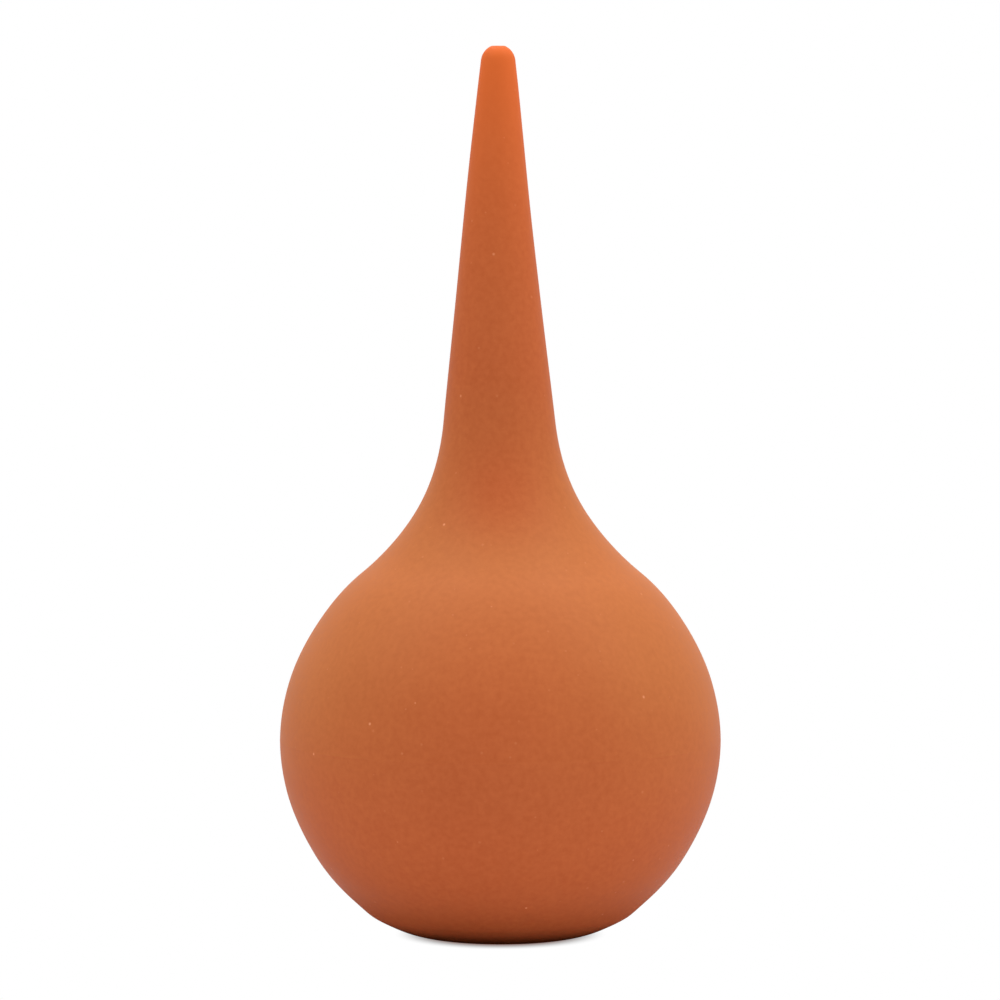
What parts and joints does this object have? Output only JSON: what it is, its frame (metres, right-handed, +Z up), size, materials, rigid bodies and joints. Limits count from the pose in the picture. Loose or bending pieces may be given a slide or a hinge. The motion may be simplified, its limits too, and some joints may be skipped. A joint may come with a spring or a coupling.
{
  "type": "ear syringe",
  "caption": "Soft rubber bulb ear syringe: a round squeeze bulb with a flat foot, a flared neck and a long soft tapered tip with a jet hole.",
  "frame": {"origin": "centre of the flat foot, on the surface that the bulb stands on", "axes": "+Z up along the syringe's axis and out of the tip; the shape is the same all round it; +Y points away from the picture's viewer"},
  "size_m": [0.06, 0.06, 0.1216],
  "materials": {
    "rubber": "satin, fine dusty grain, terracotta orange",
    "strip_rubber": "matte, terracotta orange"
  },
  "bodies": {
    "foot_end": {"base_pad": "rubber", "lower_bowl": "rubber"},
    "waist": {"seam_strip": "strip_rubber"},
    "shoulder": {"upper_shell": "rubber"},
    "spout": {"tip": "rubber"}
  },
  "joints": [
    {"name": "press", "type": "slide", "parent": "foot_end", "child": "waist", "axis": [0, 0, -1], "range_m": [0, 0.012], "stiffness_N_per_m": 2400, "deforming": ["lower_bowl"]},
    {"name": "press_shoulder", "type": "slide", "parent": "waist", "child": "shoulder", "axis": [0, 0, -1], "range_m": [0, 0.012], "stiffness_N_per_m": 2400, "deforming": ["upper_shell"]},
    {"name": "tip_bend", "type": "hinge", "parent": "shoulder", "child": "spout", "pos_m": [0, 0, 0.0719], "axis": [0, 1, 0], "range_deg": [-20, 20], "stiffness_Nm_per_rad": 0.1}
  ],
  "couplings": [
    {"joint": "press_shoulder", "follows": "press", "ratio": 1}
  ]
}
